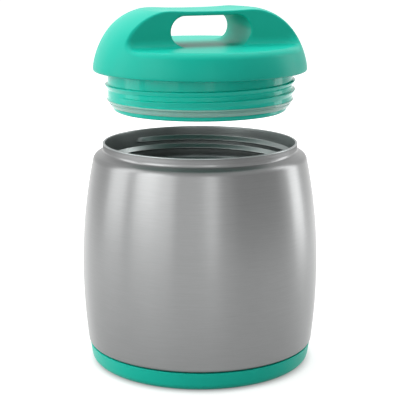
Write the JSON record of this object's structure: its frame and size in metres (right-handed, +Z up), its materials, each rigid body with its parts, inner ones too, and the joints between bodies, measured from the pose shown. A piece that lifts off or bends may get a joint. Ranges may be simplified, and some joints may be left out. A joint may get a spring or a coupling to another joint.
{
  "type": "insulated food jar",
  "caption": "Vacuum-insulated steel food jar with a screw lid held open above its wide mouth; domed plastic lid with a carrying handle, silicone gasket and plastic base cap.",
  "frame": {"origin": "middle of the base cap's underside, on the surface the jar stands on", "axes": "+Z up along the axis of the jar and of its screw lid, +X along the lid's handle bar at rest"},
  "size_m": [0.1186, 0.1186, 0.1775],
  "materials": {
    "brushed_shell": "satin",
    "vessel_steel": "satin",
    "foil": "gloss",
    "braze": "matte",
    "getter_alloy": "matte",
    "glue": "matte",
    "teal_satin": "satin",
    "teal_gloss": "gloss",
    "foam": "matte",
    "silicone": "satin"
  },
  "bodies": {
    "jar": {"outer_shell": "brushed_shell", "inner_vessel": "vessel_steel", "radiation_foil": "foil", "shell_bottom": "vessel_steel", "vacuum_seal": "braze", "getter": "getter_alloy", "getter_clip": "vessel_steel", "base_adhesive": "glue", "base_cap": "teal_satin"},
    "lid_core": {"lid_foam": "foam"},
    "lid": {"lid_cap": "teal_satin", "lid_plug": "teal_gloss", "gasket": "silicone"}
  },
  "joints": [
    {"name": "lid_lift", "type": "slide", "parent": "jar", "child": "lid_core", "axis": [0, 0, 1], "range_m": [-0.0402, 0]},
    {"name": "lid_turn", "type": "hinge", "parent": "lid_core", "child": "lid", "pos_m": [0, 0, 0.1473], "axis": [0, 0, 1], "range_deg": [-3146.09, 0]}
  ],
  "couplings": [
    {"joint": "lid_lift", "follows": "lid_turn", "m_per_rad": 0.00073211}
  ]
}
